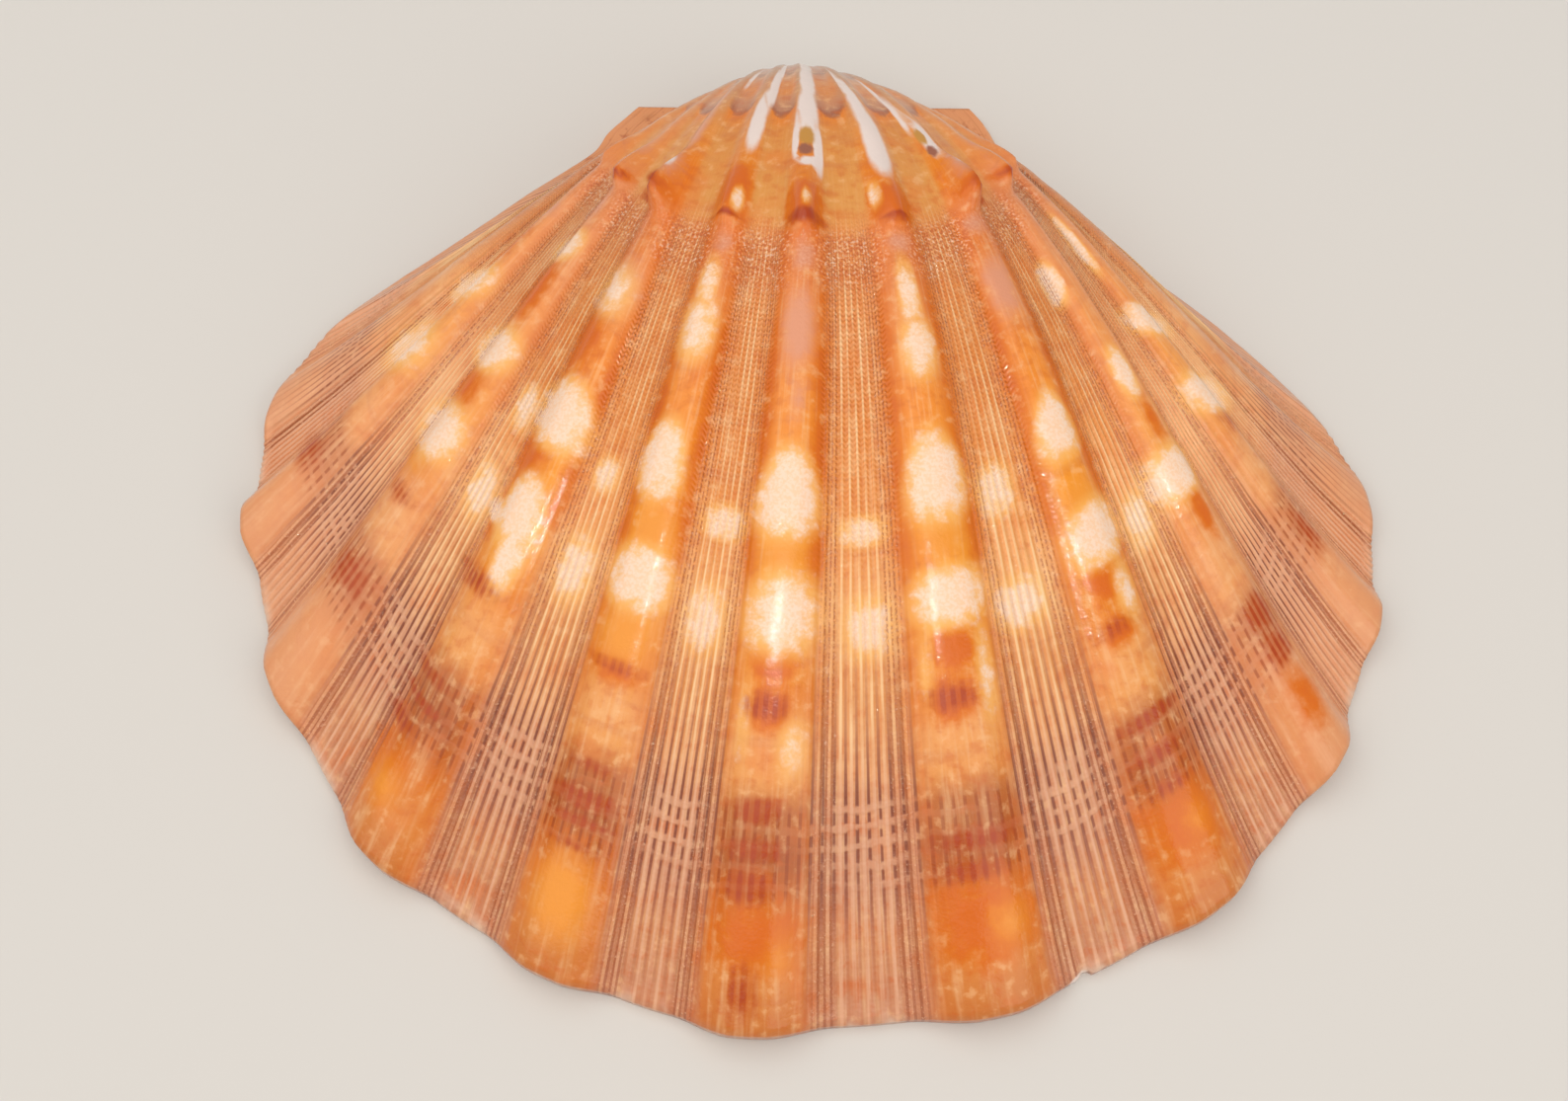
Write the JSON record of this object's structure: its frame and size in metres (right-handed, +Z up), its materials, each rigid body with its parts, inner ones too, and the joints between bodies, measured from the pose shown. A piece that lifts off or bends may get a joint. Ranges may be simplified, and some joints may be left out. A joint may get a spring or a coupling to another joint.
{
  "type": "lion's paw scallop shell valve",
  "caption": "Single ribbed scallop valve, fan-shaped and domed, lying on its scalloped rim and straight hinge edge with the hollow side down.",
  "frame": {"origin": "under the middle of the shell's box, on the plane it rests on", "axes": "+X along the hinge line, across the fan; +Y from the rim towards the hinge; +Z up, out of the domed side"},
  "size_m": [0.1466, 0.1334, 0.0321],
  "materials": {
    "shell": "polished, glossy"
  },
  "bodies": {
    "root": {"valve": "shell"}
  },
  "joints": []
}
